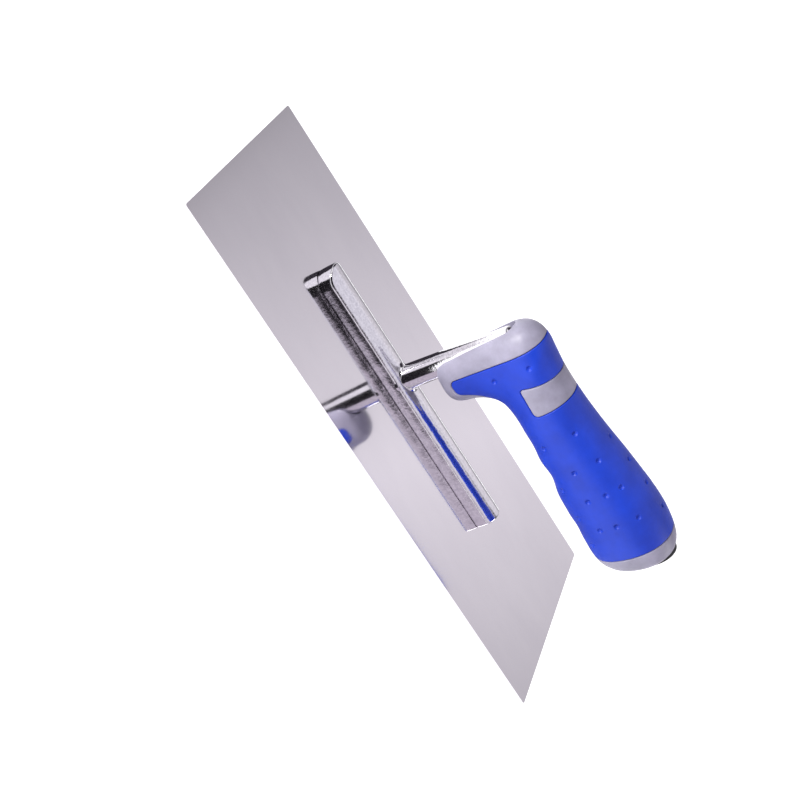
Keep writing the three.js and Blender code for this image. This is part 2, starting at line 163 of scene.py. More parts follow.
# The studio by direction: azimuth from -Y towards +X, elevation, half width, half height and
# blur in degrees, then the radiance there. Later panels lie over earlier ones. Below them the
# walls are plain, and at the foot they run into the pale floor, as a paper sweep does.
SKY_COLOR = (0.29, 0.28, 0.305)
SKY_PANELS = [
    (90, 78, 46, 24, 14, (0.77, 0.75, 0.83)),
    (-82, 40, 31, 19, 5, (1.1, 1.08, 1.12)),
    (60, 30, 48, 17, 6, (0.66, 0.60, 0.69)),
    (-21, 40, 28.5, 20, 4, (0.015, 0.014, 0.016)),
    (6, 24.5, 13, 5.5, 4, (0.02, 0.018, 0.022)),
    (5, 30, 11, 6, 4, (0.02, 0.018, 0.022)),
    (124, 38, 13, 17, 6, (0.06, 0.055, 0.065)),
    (-148, 38, 32, 17, 5, (0.04, 0.035, 0.045)),
    (157, 30, 9, 16, 20, (0.92, 0.88, 0.94)),
]
SWEEP_COLOR = (0.75, 0.745, 0.76)
SWEEP_TOP = (1.5, 6.0)  # degrees of elevation between which the sweep fades into the walls
FLOOR_GLOW = 1.05
FLOOR_RADIUS = 6000
FLOOR_DROP = 0.02  # how far the floor lies below the blade

# Name, place and diameter in metres, power in watts, and colour.
LIGHTS = [
    ("key", (-0.95, -0.6, 0.12), 0.22, 10.0, (1.0, 0.985, 0.97)),
    ("fill", (0.95, 0.25, 0.6), 0.5, 2.2, (1.0, 0.985, 1.0)),
]


# ---------------------------------------------------------------- making pieces
def make_object(name, points, faces):
    """A mesh object from points in millimetres."""
    mesh = bpy.data.meshes.new(name)
    mesh.from_pydata([tuple(p) for p in np.asarray(points, float) * MM], [], faces)
    mesh.update()
    made = bpy.data.objects.new(name, mesh)
    bpy.context.scene.collection.objects.link(made)
    return made


def smooth_shade(piece, sharp_angle):
    """Smooth shading, broken at edges that turn by more than an angle in degrees."""
    piece.data.shade_smooth()
    piece.data.set_sharp_from_angle(angle=math.radians(sharp_angle))


def finish_piece(piece, material, replaced):
    """Gives a piece its material and its place in the object."""
    piece.data.materials.clear()
    piece.data.materials.append(material)
    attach(piece, "root")
    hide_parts(replaced)


def finish_cad_node(name, material):
    """Gives a CAD node that is kept as it is a material of its own."""
    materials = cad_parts[name].data.materials
    materials.clear()
    materials.append(material)


def cut_away(piece, cutter):
    """Subtracts a closed mesh from a piece and removes it."""
    modifier = piece.modifiers.new("cut", "BOOLEAN")
    modifier.operation = "DIFFERENCE"
    modifier.solver = "MANIFOLD"
    modifier.object = cutter
    depsgraph = bpy.context.evaluated_depsgraph_get()
    mesh = bpy.data.meshes.new_from_object(piece.evaluated_get(depsgraph))
    piece.modifiers.clear()
    old = piece.data
    piece.data = mesh
    bpy.data.meshes.remove(old)
    bpy.data.objects.remove(cutter)


def full_turn(sides):
    """Evenly spaced angles once round, in radians."""
    return np.linspace(0, 2 * math.pi, sides, False)


def level_circle(x, radius, z, sides=48):
    """A level ring of points round a point of the middle plane."""
    return [(x + radius * math.cos(a), radius * math.sin(a), z) for a in full_turn(sides)]


def ring_faces(rows, sides):
    """Quads between closed rows of points."""
    faces = []
    for start in range(0, (rows - 1) * sides, sides):
        for side in range(sides):
            after = (side + 1) % sides
            faces.append((start + side, start + after, start + sides + after, start + sides + side))
    return faces


def lofted(rings):
    """Points and faces of a skin over rings of equally many points, with a fan at each end."""
    sides = len(rings[0])
    points = [p for ring in rings for p in ring]
    faces = ring_faces(len(rings), sides)
    last = (len(rings) - 1) * sides
    start_hub, end_hub = len(points), len(points) + 1
    points += [np.mean(rings[0], axis=0), np.mean(rings[-1], axis=0)]
    faces += [(start_hub, (k + 1) % sides, k) for k in range(sides)]
    faces += [(end_hub, last + k, last + (k + 1) % sides) for k in range(sides)]
    return points, faces


def join_shells(*shells):
    """Several point and face lists as one."""
    points, faces = [], []
    for more_points, more_faces in shells:
        base = len(points)
        points += list(more_points)
        faces += [tuple(base + i for i in face) for face in more_faces]
    return points, faces


def bezier(controls, steps=8):
    """Points along a Bezier curve of any order, without its first point."""
    out = []
    for step in range(1, steps + 1):
        t = step / steps
        points = np.array(controls, float)
        while len(points) > 1:
            points = points[:-1] * (1 - t) + points[1:] * t
        out.append(tuple(points[0]))
    return out


def rounding(distance, radius):
    """How deep a rounded edge lies below the surface, at a distance in from where it ends."""
    inside = np.clip(distance / radius, 0, 1)
    return radius * (1 - np.sqrt(1 - (1 - inside) ** 2))


# ---------------------------------------------------------------- shader nodes
def new_material(name):
    """A node material and its node tree, Principled shader and object-space coordinates."""
    material = bpy.data.materials.new(name)
    material.use_nodes = True
    tree = material.node_tree
    shader = tree.nodes["Principled BSDF"]
    place = tree.nodes.new("ShaderNodeTexCoord").outputs["Object"]
    return material, tree, shader, place


def noise_value(tree, place, scale, detail, roughness=0.55, stretch=(1, 1, 1)):
    """Noise of a number of cycles per metre, stretched by an amount along each axis."""
    mapping = tree.nodes.new("ShaderNodeMapping")
    mapping.inputs["Scale"].default_value = stretch
    tree.links.new(place, mapping.inputs["Vector"])
    texture = tree.nodes.new("ShaderNodeTexNoise")
    texture.inputs["Scale"].default_value = scale
    texture.inputs["Detail"].default_value = detail
    texture.inputs["Roughness"].default_value = roughness
    tree.links.new(mapping.outputs["Vector"], texture.inputs["Vector"])
    return texture.outputs["Fac"]


def remap(tree, value, low, high, start=0.3, end=0.7):
    """A value between start and end, turned into one between low and high."""
    node = tree.nodes.new("ShaderNodeMapRange")
    node.inputs["From Min"].default_value = start
    node.inputs["From Max"].default_value = end
    node.inputs["To Min"].default_value = low
    node.inputs["To Max"].default_value = high
    tree.links.new(value, node.inputs["Value"])
    return node.outputs["Result"]


def blend_colors(tree, factor, first, second):
    node = tree.nodes.new("ShaderNodeMix")
    node.data_type = "RGBA"
    tree.links.new(factor, node.inputs["Factor"])
    for socket, color in ((node.inputs["A"], first), (node.inputs["B"], second)):
        if isinstance(color, tuple):
            socket.default_value = (*color, 1.0)
        else:
            tree.links.new(color, socket)
    return node.outputs["Result"]


def vary(tree, shader, by_color, dark, light, by_gloss, smooth, rough):
    """Lets one noise mix two colours and another vary the roughness."""
    color = blend_colors(tree, remap(tree, by_color, 0, 1), dark, light)
    tree.links.new(color, shader.inputs["Base Color"])
    tree.links.new(remap(tree, by_gloss, smooth, rough), shader.inputs["Roughness"])


def bump_chain(tree, shader, layers):
    """Bumps laid over each other: each layer is a height and its depth in millimetres."""
    normal = None
    for height, depth in layers:
        node = tree.nodes.new("ShaderNodeBump")
        node.inputs["Distance"].default_value = depth * MM
        tree.links.new(height, node.inputs["Height"])
        if normal is not None:
            tree.links.new(normal, node.inputs["Normal"])
        normal = node.outputs["Normal"]
    tree.links.new(normal, shader.inputs["Normal"])


# ---------------------------------------------------------------- materials
def blade_material():
    """Bright rolled stainless sheet: fine lines along the blade, faint smears and a slow wave."""
    material, tree, shader, place = new_material("blade_steel")
    lines = noise_value(tree, place, scale=160, detail=4, roughness=0.6, stretch=(0.12, 14, 14))
    smears = noise_value(tree, place, scale=22, detail=4, roughness=0.6, stretch=(0.6, 1.3, 1))
    wave = noise_value(tree, place, scale=9, detail=1)
    vary(tree, shader, smears, (0.80, 0.775, 0.815), (0.855, 0.83, 0.865), smears, 0.07, 0.12)
    shader.inputs["Metallic"].default_value = 1.0
    bump_chain(tree, shader, [(wave, 0.05), (lines, 0.0012)])
    return material


def chrome_material():
    """Chrome plate over a casting that was never ground quite smooth."""
    material, tree, shader, place = new_material("chrome_plate")
    ripple = noise_value(tree, place, scale=190, detail=2, roughness=0.5)
    grain = noise_value(tree, place, scale=800, detail=3, roughness=0.6)
    haze = noise_value(tree, place, scale=60, detail=3)
    vary(tree, shader, grain, (0.70, 0.685, 0.725), (0.93, 0.915, 0.945), haze, 0.04, 0.10)
    shader.inputs["Metallic"].default_value = 1.0
    bump_chain(tree, shader, [(ripple, 0.04), (grain, 0.045)])
    return material


def rivet_material():
    """Steel ground flush with the blade, with the grinding marks across it."""
    material, tree, shader, place = new_material("rivet_steel")
    marks = noise_value(tree, place, scale=500, detail=3, roughness=0.6, stretch=(1, 0.1, 1))
    vary(tree, shader, marks, (0.50, 0.49, 0.50), (0.68, 0.66, 0.68), marks, 0.22, 0.38)
    shader.inputs["Metallic"].default_value = 1.0
    bump_chain(tree, shader, [(marks, 0.01)])
    return material


def plastic_material():
    """Satin grey moulding with a fine spark-eroded grain and cloudy handling marks."""
    material, tree, shader, place = new_material("grey_plastic")
    clouds = noise_value(tree, place, scale=55, detail=5, roughness=0.65)
    grain = noise_value(tree, place, scale=1500, detail=2, roughness=0.6)
    vary(tree, shader, clouds, (0.28, 0.268, 0.35), (0.45, 0.43, 0.56), clouds, 0.46, 0.36)
    bump_chain(tree, shader, [(clouds, 0.03), (grain, 0.012)])
    return material


def rubber_material(name, dark, light):
    """Matt moulded rubber with a fine leathery grain."""
    material, tree, shader, place = new_material(name)
    clouds = noise_value(tree, place, scale=70, detail=4, roughness=0.6)
    grain = noise_value(tree, place, scale=900, detail=3, roughness=0.6)
    vary(tree, shader, clouds, dark, light, grain, 0.40, 0.52)
    bump_chain(tree, shader, [(clouds, 0.05), (grain, 0.05)])
    return material


def zinc_material():
    """Zinc-plated turned steel."""
    material, tree, shader, place = new_material("zinc_steel")
    rings = noise_value(tree, place, scale=800, detail=2, roughness=0.5, stretch=(4, 1, 1))
    vary(tree, shader, rings, (0.45, 0.46, 0.48), (0.62, 0.63, 0.64), rings, 0.3, 0.42)
    shader.inputs["Metallic"].default_value = 1.0
    bump_chain(tree, shader, [(rings, 0.008)])
    return material


BLADE_STEEL = blade_material()
CHROME = chrome_material()
RIVET_STEEL = rivet_material()
GREY_PLASTIC = plastic_material()
BLUE_RUBBER = rubber_material("blue_rubber", (0.004, 0.038, 0.49), (0.006, 0.055, 0.66))
BLACK_RUBBER = rubber_material("black_rubber", (0.004, 0.004, 0.005), (0.008, 0.008, 0.010))
ZINC_STEEL = zinc_material()


# ---------------------------------------------------------------- blade and rivets
def rounded_rectangle(half_x, half_y, radius, steps=8):
    """Points round a rectangle, with each corner as a quarter turn."""
    outline = []
    for quarter, (sign_x, sign_y) in enumerate([(1, -1), (1, 1), (-1, 1), (-1, -1)]):
        for step in range(steps + 1):
            angle = (quarter - 1 + step / steps) * math.pi / 2
            x = sign_x * (half_x - radius) + radius * math.cos(angle)
            y = sign_y * (half_y - radius) + radius * math.sin(angle)
            outline.append((x, y))
    return outline


def rivets():
    """Name, place along the blade, radius of the head and top of every rivet, from the frame."""
    found = []
    for name in sorted(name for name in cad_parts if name.startswith("rivet_")):
        low, high = node_box(name)
        found.append((name, (low[0] + high[0]) / 2, high[1], high[2]))
    return found


def make_blade():
    """The sheet with its rivet holes, every edge eased."""
    outline = rounded_rectangle(BLADE_HIGH[0], BLADE_HIGH[1], BLADE_CORNER)
    count = len(outline)
    points = [(x, y, z) for z in (0, BLADE_TOP) for x, y in outline]
    faces = ring_faces(2, count)
    faces.append(tuple(reversed(range(count))))
    faces.append(tuple(range(count, 2 * count)))
    sheet = make_object("blade_sheet", points, faces)
    holes = []
    for _, x, head, _ in rivets():
        holes.append(lofted([level_circle(x, head + RIVET_GAP, z) for z in (-1, BLADE_TOP + 1)]))
    cut_away(sheet, make_object("hole_cutter", *join_shells(*holes)))
    bevel = sheet.modifiers.new("eased_edges", "BEVEL")
    bevel.width = BLADE_EDGE * MM
    bevel.segments = 2
    bevel.limit_method = "ANGLE"
    bevel.angle_limit = math.radians(50)
    smooth_shade(sheet, sharp_angle=30)
    finish_piece(sheet, BLADE_STEEL, "blade")


def make_rivets():
    """Each rivet's head lies flush under the blade, with an eased rim, and its shank rises inside."""
    for name, x, head, top in rivets():
        shank = head - RIVET_STEP
        profile = [(head - RIVET_RIM, 0), (head, RIVET_RIM), (head, BLADE_TOP)]
        profile += [(shank, BLADE_TOP), (shank, top)]
        rings = [level_circle(x, radius, z) for radius, z in profile]
        rivet = make_object(name + "_pin", *lofted(rings))
        smooth_shade(rivet, sharp_angle=30)
        finish_piece(rivet, RIVET_STEEL, name)


# ---------------------------------------------------------------- rail
def crown_height(y):
    """Height of the rail's arched top."""
    rise = RAIL_CROWN_TOP - RAIL_SIDE_TOP
    radius = (RAIL_HALF**2 + rise**2) / (2 * rise)
    return RAIL_CROWN_TOP - radius + math.sqrt(radius**2 - min(abs(y), RAIL_HALF) ** 2)


def rail_outline(spacing=0.6, corner_steps=6, bow_steps=24, nose_steps=44):
    """Plan of the rail: a full-round front end and a slightly bowed back end with round corners."""
    front, back, half = RAIL_LOW[0], RAIL_HIGH[0], RAIL_HALF
    corner = RAIL_BACK_CORNER
    side_end = back - RAIL_BOW
    straight = int((side_end - front - half) / spacing)
    near_side = [(x, -half) for x in np.linspace(front + half, side_end - corner, straight)]
    bow_x = side_end + RAIL_BOW_START
    near_corner = bezier([near_side[-1], (side_end, -half), (bow_x, -half + corner)], corner_steps)
    bow = bezier([near_corner[-1], (back + RAIL_BOW_PULL, 0), (bow_x, half - corner)], bow_steps)
    far_corner = bezier([bow[-1], (side_end, half), (side_end - corner, half)], corner_steps)
    far_side = [(x, half) for x in np.linspace(side_end - corner, front + half, straight)][1:]
    turn = np.linspace(math.pi / 2, 3 * math.pi / 2, nose_steps)[1:-1]
    nose = [(front + half + half * math.cos(a), half * math.sin(a)) for a in turn]
    return near_side + near_corner + bow + far_corner + far_side + nose


def side_lean(share):
    """How far the rail's sides stand in from their widest line, at a share of their height."""
    return RAIL_BULGE * (share / RAIL_BELLY - 1) ** 2


def rail_body(wall_rows=10, edge_rows=7, top_rows=12):
    """Upright sides, a rounded edge and the arched top, as rings that shrink on to the middle line."""
    outline = rail_outline()
    spine = [min(max(x, RAIL_LOW[0] + RAIL_HALF), RAIL_HIGH[0] - RAIL_HALF) for x, _ in outline]

    def wall_ring(share, further_in=0.0):
        """A ring of the sides, at a share of their height above the gap."""
        inset = side_lean(share) + further_in
        low = BLADE_TOP + RAIL_GAP_HEIGHT
        points = []
        for (x, y), middle in zip(outline, spine):
            top = crown_height(y) - RAIL_EDGE
            part = inset / math.hypot(x - middle, y)
            points.append((x + (middle - x) * part, y * (1 - part), low + (top - low) * share))
        return points

    def top_ring(share, inset, drop):
        """A ring of the arched top, at a share of the way from its edge to the middle line."""
        points = []
        for (x, y), middle in zip(outline, spine):
            start = (inset + side_lean(1)) / math.hypot(x - middle, y)
            part = start + share * (1 - start)
            at_y = y * (1 - part)
            points.append((x + (middle - x) * part, at_y, crown_height(at_y) - drop))
        return points

    gap_top = wall_ring(0, RAIL_GAP_DEPTH)
    gap_foot = [(x, y, BLADE_TOP) for x, y, _ in gap_top]
    rings = [gap_foot, gap_top]
    rings += [wall_ring(share) for share in np.linspace(0, 1, wall_rows)[:-1]]
    for angle in np.linspace(0, math.pi / 2, edge_rows):
        rings.append(top_ring(0, RAIL_EDGE * (1 - math.cos(angle)), RAIL_EDGE * (1 - math.sin(angle))))
    rings += [top_ring(share, RAIL_EDGE, 0) for share in np.linspace(0, 1, top_rows)[1:]]
    sides = len(outline)
    points = [p for ring in rings for p in ring]
    return points, ring_faces(len(rings), sides) + [tuple(reversed(range(sides)))]


def post_at(z):
    """Where the shank's leaning upright is at a height, and its radius there."""
    along = (z - POST_FOOT[1]) / (POST_HEAD[1] - POST_FOOT[1])
    x = POST_FOOT[0] + (POST_HEAD[0] - POST_FOOT[0]) * along
    return x, POST_FOOT[2] + (POST_HEAD[2] - POST_FOOT[2]) * along


def fillet_body(sides=96, rows=10):
    """The flared foot of the post: it leaves the arched top level and ends upright on the post."""
    sink_in_rail, sink_in_post = FILLET_SINK
    rings = []
    for angle in np.linspace(0, math.pi / 2, rows):
        out = FILLET * (1 - math.sin(angle))
        up = FILLET * (1 - math.cos(angle))
        ring = []
        for turn in full_turn(sides):
            foot_y = (POST_FOOT[2] + FILLET) * math.sin(turn)
            z = crown_height(foot_y) - sink_in_rail + up
            x, radius = post_at(z)
            reach = radius - sink_in_post + out
            ring.append((x + reach * math.cos(turn), reach * math.sin(turn), z))
        rings.append(ring)
    below = [(x, y, z - FILLET_ROOT) for x, y, z in rings[0]]
    middle_x, _ = post_at(RAIL_CROWN_TOP + FILLET)
    narrower = 0.8
    above = [(middle_x + (x - middle_x) * narrower, y * narrower, z) for x, y, z in rings[-1]]
    return lofted([below, *rings, above])


def roughen(piece, depth, size, seed):
    """Pushes the points inwards along their normals by smooth noise, as on a casting."""
    offset = seed * Vector((1, 2.7, 5.1))
    moved = []
    for vertex in piece.data.vertices:
        height = noise.noise(vertex.co / (size * MM) + offset)
        moved.append(vertex.co + vertex.normal * (height - 1) * depth * MM / 2)
    for vertex, place in zip(piece.data.vertices, moved):
        vertex.co = place


def merge_points(piece, distance=0.01):
    """Joins points that lie on each other and turns every face outwards."""
    work = bmesh.new()
    work.from_mesh(piece.data)
    bmesh.ops.remove_doubles(work, verts=work.verts, dist=distance * MM)
    bmesh.ops.recalc_face_normals(work, faces=work.faces)
    work.to_mesh(piece.data)
    work.free()


def make_rail():
    """The chromed bar along the blade, with the post's flared foot in one casting."""
    rail = make_object("rail_casting", *join_shells(rail_body(), fillet_body()))
    merge_points(rail)
    roughen(rail, depth=0.12, size=7, seed=3)
    smooth_shade(rail, sharp_angle=50)
    finish_piece(rail, CHROME, "rail")


# ---------------------------------------------------------------- shank
def make_shank(sides=72, post_rows=60, dome_rows=10):
    """The leaning upright with its domed top, and the tang that runs back through the handle."""
    levels = [(z, post_at(z)[1]) for z in np.linspace(POST_FOOT[1], POST_HEAD[1], post_rows)]
    for angle in np.linspace(0, math.pi / 2, dome_rows)[1:-1]:
        levels.append((POST_HEAD[1] + POST_DOME * math.sin(angle), POST_HEAD[2] * math.cos(angle)))
    post = [level_circle(post_at(z)[0], radius, z, sides) for z, radius in levels]
    tang_end = SHANK_HIGH[0]
    profile = [(POST_HEAD[0], TANG_RADIUS), (tang_end - TANG_CHAMFER, TANG_RADIUS)]
    profile += [(tang_end, TANG_RADIUS - TANG_CHAMFER)]
    tang = [
        [(x, -radius * math.sin(a), TANG_Z + radius * math.cos(a)) for a in full_turn(sides)]
        for x, radius in profile
    ]
    shank = make_object("shank_rod", *join_shells(lofted(post), lofted(tang)))
    merge_points(shank)
    roughen(shank, depth=0.10, size=9, seed=8)
    smooth_shade(shank, sharp_angle=40)
    finish_piece(shank, CHROME, "shank")


# ---------------------------------------------------------------- handle surface
def along_stations(shares):
    """Smooth values of every station column at shares from 0 to 1 (a Catmull-Rom curve)."""
    count = len(STATIONS)
    padded = np.vstack([2 * STATIONS[0] - STATIONS[1], STATIONS, 2 * STATIONS[-1] - STATIONS[-2]])
    at = np.clip(shares, 0, 1) * (count - 1)
    index = np.minimum(at.astype(int), count - 2)
    t = (at - index)[:, None]
    before, start, end, after = (padded[index + k] for k in range(4))
    slope_in, slope_out = (end - before) / 2, (after - start) / 2
    rise = end - start
    square = 3 * rise - 2 * slope_in - slope_out
    cube = slope_in + slope_out - 2 * rise
    return start + slope_in * t + square * t**2 + cube * t**3


def handle_sections(shares, angles):
    """Points of the handle's surface as an array of rows and sides; angle 0 is the outer side."""
    values = along_stations(np.asarray(shares, float))
    outer, inner = values[:, 0:2], values[:, 2:4]
    half_width, square = values[:, 4], values[:, 5]
    across = (outer - inner) / 2
    middle = (outer + inner) / 2
    cos, sin = np.cos(angles)[None, :], np.sin(angles)[None, :]
    power = 2 / np.where(cos > 0, square[:, None], INNER_SQUARE)
    reach = np.sign(cos) * np.abs(cos) ** power
    spread = np.sign(sin) * np.abs(sin) ** power
    x = middle[:, 0:1] + across[:, 0:1] * reach
    z = middle[:, 1:2] + across[:, 1:2] * reach
    return np.stack([x, -spread * half_width[:, None], z], axis=-1)


def even_shares(spacing, samples=4000):
    """Shares along the handle whose sections are about equally far apart on their longer side."""
    fine = np.linspace(0, 1, samples)
    values = along_stations(fine)
    steps = np.maximum(
        np.linalg.norm(np.diff(values[:, 0:2], axis=0), axis=1),
        np.linalg.norm(np.diff(values[:, 2:4], axis=0), axis=1),
    )
    length = np.concatenate([[0], np.cumsum(steps)])
    count = int(length[-1] / spacing) + 1
    return np.interp(np.linspace(0, length[-1], count), length, fine)


def closing_rings(rim, inner_ring, bulge, steps=7):
    """Rings that close an open end with a low dome, ending in a point."""
    centre = rim.mean(axis=0)
    outward = centre - inner_ring.mean(axis=0)
    outward /= np.linalg.norm(outward)
    rings = []
    for share in np.linspace(0, 1, steps + 1)[1:]:
        scale = 1 - share
        rings.append(centre + (rim - centre) * scale + outward * bulge * (1 - scale**2))
    return rings


def handle_mesh(spacing):
    """The whole handle as one closed bmesh, in millimetres."""
    sides = int(HANDLE_GIRTH / spacing)
    body = list(handle_sections(even_shares(spacing), full_turn(sides)))
    nose = closing_rings(body[0], body[1], NOSE_BULGE)
    butt = closing_rings(body[-1], body[-2], BUTT_BULGE)
    rings = nose[::-1] + body + butt
    work = bmesh.new()
    vertices = [work.verts.new(p) for ring in rings for p in ring]
    for face in ring_faces(len(rings), sides):
        work.faces.new([vertices[k] for k in face])
    same_place = 0.002
    bmesh.ops.remove_doubles(work, verts=work.verts, dist=same_place)
    bmesh.ops.recalc_face_normals(work, faces=work.faces)
    return work


def grip_outline():
    """Side view of the grip: straight front edge, tongue down the leg, throat, and window notch."""
    outline = [(-3.3, ABOVE_HANDLE), (-3.3, 34.6)]
    outline += bezier([(-3.3, 34.6), (-3.3, 31.4), (-0.4, 31.4)])
    outline += [(2.0, 31.4)]
    outline += bezier([(2.0, 31.4), (4.4, 31.4), (5.4, 34.0)])
    outline += bezier([(5.4, 34.0), (7.6, 40.2), (11.4, 45.4), (18.0, 47.0)], steps=16)
    outline += [(27.5, 48.0), (27.5, 40.0), *BUTT_LINE, (26.4, ABOVE_HANDLE), (26.4, 65.2)]
    outline += bezier([(26.4, 65.2), (26.4, 62.2), (23.4, 62.2)])
    outline += [(13.0, 62.2)]
    outline += bezier([(13.0, 62.2), (11.2, 62.2), (11.6, 64.4)])
    outline += [(16.2, ABOVE_HANDLE)]
    return np.array(outline)


def outline_distance(points, outline):
    """Signed distance in side view (negative inside), and the way in which it grows."""
    flat = points[:, [0, 2]]
    tiny = 1e-9
    best = np.full(len(flat), np.inf)
    away = np.zeros((len(flat), 2))
    inside = np.zeros(len(flat), bool)
    for start, end in zip(outline, np.roll(outline, -1, axis=0)):
        edge = end - start
        length = edge @ edge
        if length < tiny:
            continue
        share = np.clip((flat - start) @ edge / length, 0, 1)
        gap = flat - (start + share[:, None] * edge)
        distance = np.linalg.norm(gap, axis=1)
        nearer = distance < best
        best[nearer] = distance[nearer]
        away[nearer] = gap[nearer]
        crosses = (start[1] > flat[:, 1]) != (end[1] > flat[:, 1])
        height = np.where(edge[1] == 0, 1, edge[1])
        at_x = start[0] + edge[0] * (flat[:, 1] - start[1]) / height
        inside ^= crosses & (flat[:, 0] < at_x)
    sign = np.where(inside, -1.0, 1.0)
    away = away / np.maximum(best, tiny)[:, None] * sign[:, None]
    return best * sign, away


def on_surface(distance, away, normals):
    """Turns a side-view distance into one measured on the surface, where the surface slants."""
    facing = away[:, 0] * normals[:, 0] + away[:, 1] * normals[:, 2]
    least_slope = 0.2
    return distance / np.sqrt(np.maximum(1 - facing**2, least_slope**2))


def grip_field(points, normals):
    """Distance over the surface from the grip's edge, negative inside the grip."""
    distance, away = outline_distance(points, grip_outline())
    return on_surface(distance, away, normals)


def butt_field(points, normals):
    """Distance over the surface from the butt line, positive on the cap's side."""
    (low_x, low_z), (high_x, high_z) = BUTT_LINE
    lean = (high_x - low_x) / (high_z - low_z)
    size = math.hypot(1, lean)
    distance = (points[:, 0] - low_x - (points[:, 2] - low_z) * lean) / size
    away = np.tile([1 / size, -lean / size], (len(points), 1))
    return on_surface(distance, away, normals)


def core_field(points, normals):
    """Positive where the core comes up to the surface: outside the grip and in front of the cap."""
    return np.minimum(grip_field(points, normals), -butt_field(points, normals))


def slot_field(points, _normals):
    """Distance sideways from the lips of the slot in the front of the leg, large at the back."""
    elsewhere = 9.0
    middle, radius = post_at(points[:, 2])
    over = np.maximum(points[:, 2] - (SLOT_TOP - radius - SLOT_GAP), 0)
    beside = np.hypot(points[:, 1], over) - radius - SLOT_GAP
    return np.where(points[:, 0] < middle + radius, beside, elsewhere)


def mesh_arrays(work):
    """Places and normals of a bmesh's points, in the order of their fresh indices."""
    work.verts.index_update()
    points = np.array([v.co for v in work.verts])
    normals = np.array([v.normal for v in work.verts])
    return points, normals


def split_along(work, above):
    """Adds a line of points where a field changes sign and cuts the faces along it.

    Points and faces are gathered in dicts, which keep their order, so every run cuts alike.
    """
    snap = 0.02
    above = np.where(np.abs(above) < snap, 0, above)
    at_level = dict.fromkeys(v for v, height in zip(work.verts, above) if height == 0)
    touched = {}
    for edge in list(work.edges):
        a, b = edge.verts
        high, low = above[a.index], above[b.index]
        if high * low < 0:
            touched.update(dict.fromkeys(edge.link_faces))
            _, middle = bmesh.utils.edge_split(edge, a, high / (high - low))
            at_level[middle] = None
    for vertex in at_level:
        touched.update(dict.fromkeys(vertex.link_faces))
    for face in touched:
        marks = [v for v in face.verts if v in at_level]
        if len(marks) == 2:
            a, b = marks
            if not any(b in edge.verts for edge in a.link_edges if edge in face.edges):
                bmesh.utils.face_split(face, a, b)


def split_at_levels(work, field, levels):
    """Splits a bmesh along several levels of a field of points and normals."""
    for level in levels:
        work.normal_update()
        split_along(work, field(*mesh_arrays(work)) - level)
    work.normal_update()


# ---------------------------------------------------------------- handle pieces
def dimple_centres(samples=1500):
    """Where the dimples' middles lie on the handle's surface."""
    grip_start = 0.45
    shares = np.linspace(grip_start, 1, samples)
    centres = []
    for first_x, spacing, angles in DIMPLE_ROWS:
        for k, degrees in enumerate(angles):
            for side in (1, -1) if degrees else (1,):
                line = handle_sections(shares, np.array([side * math.radians(degrees)]))[:, 0]
                centres.append(line[np.argmin(np.abs(line[:, 0] - first_x - k * spacing))])
    for degrees, share in NECK_DIMPLES:
        for side in (1, -1):
            centres.append(handle_sections([share], np.array([side * math.radians(degrees)]))[0, 0])
    return centres


def dimple_field(points, _normals):
    """Distance to the nearest dimple's middle."""
    centres = dimple_centres()
    return np.min([np.linalg.norm(points - centre, axis=1) for centre in centres], axis=0)


def grip_depth(points, normals):
    """How far the grip's surface lies under the handle's plain outline."""
    depth = rounding(-grip_field(points, normals) - SEAM, EDGE_ROUND)
    for centre in dimple_centres():
        share = np.linalg.norm(points - centre, axis=1) / DIMPLE_RADIUS
        depth += DIMPLE_DEPTH * np.clip(1 - share**2, 0, 1)
    along = (points[:, 0] - FINGER["first"]) / FINGER["pitch"]
    under = np.clip(-normals[:, 2], 0, 1) ** FINGER["focus"]
    under *= (along > 0) & (along < FINGER["count"])
    return depth + FINGER["depth"] * under * (1 - np.cos(2 * math.pi * along)) / 2


def shell(work, kept, depth, thickness):
    """Points and faces of a closed shell: the kept faces sunk by a depth, an inner skin and rims."""
    points, normals = mesh_arrays(work)
    used = sorted({v.index for face in kept for v in face.verts})
    place = {index: k for k, index in enumerate(used)}
    outer = (points - normals * depth[:, None])[used]
    inner = (points - normals * thickness)[used]
    count = len(used)
    faces, sides = [], set()
    for face in kept:
        loop = [place[v.index] for v in face.verts]
        faces.append(tuple(loop))
        faces.append(tuple(count + k for k in reversed(loop)))
        sides.update(zip(loop, loop[1:] + loop[:1]))
    for a, b in sides:
        if (b, a) not in sides:
            faces.append((b, a, count + a, count + b))
    return np.vstack([outer, inner]), faces


def faces_where(work, values):
    """Faces whose corners have a positive mean value."""
    return [face for face in work.faces if sum(values[v.index] for v in face.verts) > 0]


def edge_levels(sign=1):
    """Field levels of the lines that carry a rounded edge, from the seam inwards."""
    return [sign * (SEAM + EDGE_ROUND * share) for share in EDGE_SHARES]


def make_grip():
    """The blue overmould, a closed shell with rounded edges, dimples and finger waves."""
    work = handle_mesh(GRIP_SPACING)
    split_at_levels(work, grip_field, edge_levels(-1))
    split_at_levels(work, dimple_field, [DIMPLE_RADIUS * share for share in DIMPLE_SHARES])
    points, normals = mesh_arrays(work)
    kept = faces_where(work, -grip_field(points, normals) - SEAM)
    grip = make_object("grip_skin", *shell(work, kept, grip_depth(points, normals), SKIN))
    work.free()
    smooth_shade(grip, sharp_angle=60)
    finish_piece(grip, BLUE_RUBBER, "soft_grip")


